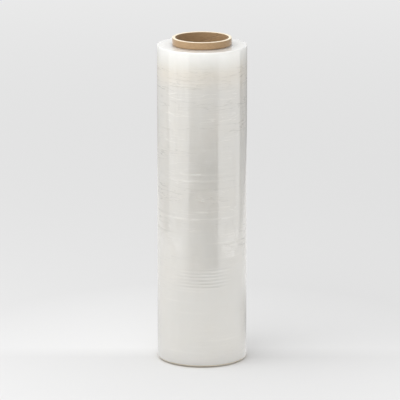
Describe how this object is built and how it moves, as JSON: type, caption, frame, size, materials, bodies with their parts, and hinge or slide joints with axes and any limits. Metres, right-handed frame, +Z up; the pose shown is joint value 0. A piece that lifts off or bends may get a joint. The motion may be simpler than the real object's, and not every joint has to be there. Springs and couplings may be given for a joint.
{
  "type": "stretch wrap roll",
  "caption": "Hand roll of clear stretch wrap, wound tight on a paperboard core that stands a little proud of the film at both ends.",
  "frame": {"origin": "centre of the core's lower end, which the roll stands on", "axes": "+Z up along the core's axis, -Y towards the front, the film's free edge at the back, 62 degrees from +X"},
  "size_m": [0.1293, 0.1291, 0.4699],
  "materials": {
    "paperboard": "matte, spiral wound, kraft brown",
    "stretch_film": "glossy clear film, milky white where it is wound many turns deep"
  },
  "bodies": {
    "root": {"core_tube": "paperboard", "film_roll": "stretch_film"}
  },
  "joints": []
}
